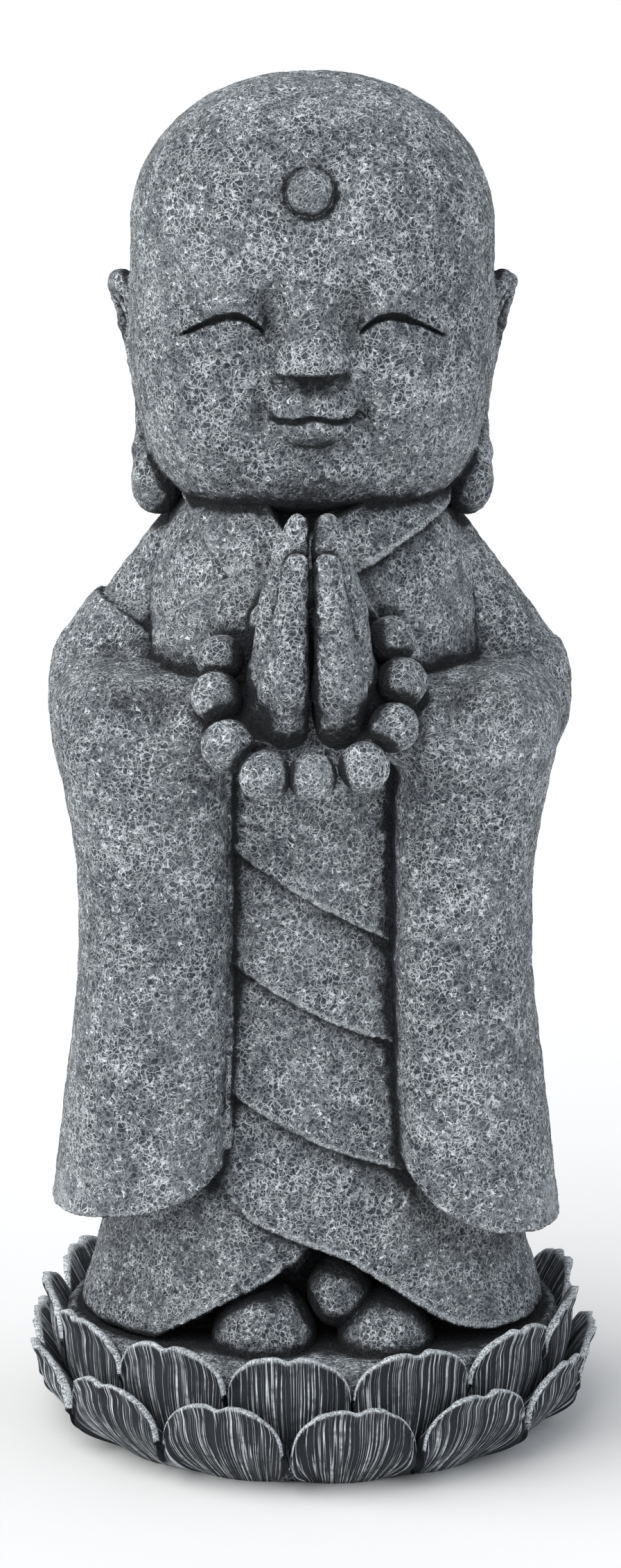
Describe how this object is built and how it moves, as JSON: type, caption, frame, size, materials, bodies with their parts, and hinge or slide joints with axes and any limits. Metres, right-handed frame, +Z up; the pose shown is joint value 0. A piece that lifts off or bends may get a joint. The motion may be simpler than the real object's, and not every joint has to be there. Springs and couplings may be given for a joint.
{
  "type": "jizo statue",
  "caption": "Stone statue of a standing child monk with closed eyes, praying hands, prayer beads and wide hanging sleeves, on a round double lotus pedestal.",
  "frame": {"origin": "centre of the flat round underside of the pedestal", "axes": "+Z up through the crown of the head, -Y the way the figure looks, +X to its left hand"},
  "size_m": [0.257, 0.2606, 0.6],
  "materials": {
    "stone": "rough, worm-tracked stone: charcoal grey in the hollows, rubbed pale grey on every ridge and edge"
  },
  "bodies": {
    "root": {"jizo_statue": "stone"}
  },
  "joints": []
}
